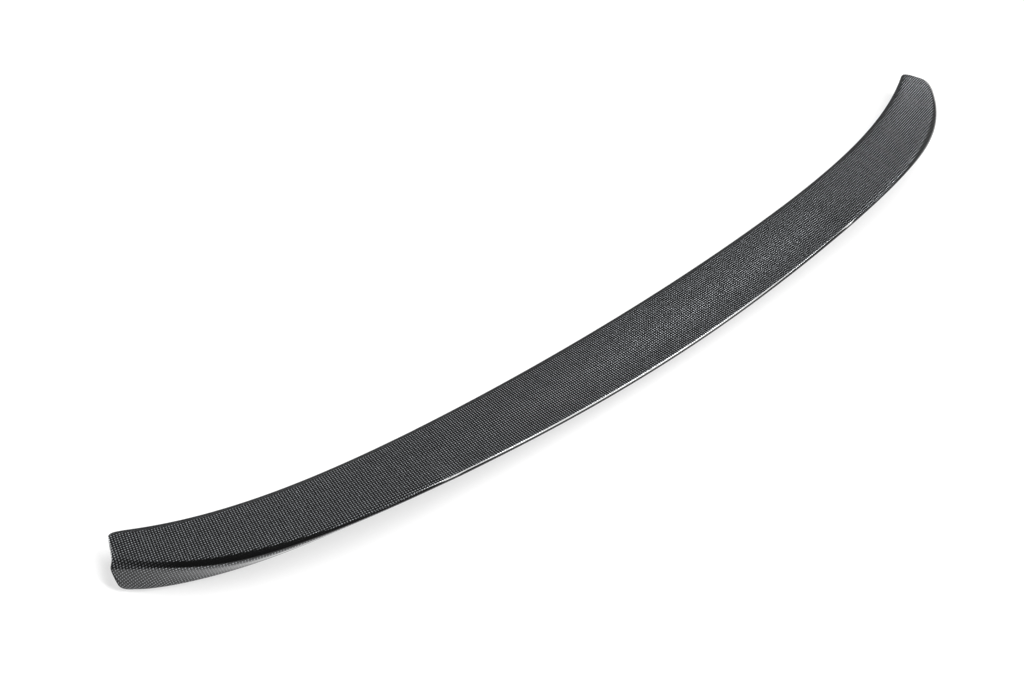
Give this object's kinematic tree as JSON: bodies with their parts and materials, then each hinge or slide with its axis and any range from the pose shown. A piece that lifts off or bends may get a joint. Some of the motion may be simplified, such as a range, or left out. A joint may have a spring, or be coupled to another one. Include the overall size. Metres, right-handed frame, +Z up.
{
  "type": "rear lip spoiler",
  "caption": "Thin carbon-fibre lip for the rear edge of a boot lid, bowed in plan, with a raised centre crest, swept-forward ends and a rear flange, open underneath.",
  "frame": {"origin": "on the floor under the middle of the part's bounding box, as it stands on the bottom edge of its rear flange", "axes": "+X along the part, to the right seen from behind; +Y towards the front of the car; +Z up"},
  "size_m": [1.1814, 0.17, 0.0364],
  "materials": {
    "carbon": "clear-coated carbon-fibre laminate, plain weave laid on the bias, high gloss"
  },
  "bodies": {
    "root": {"spoiler": "carbon"}
  },
  "joints": []
}
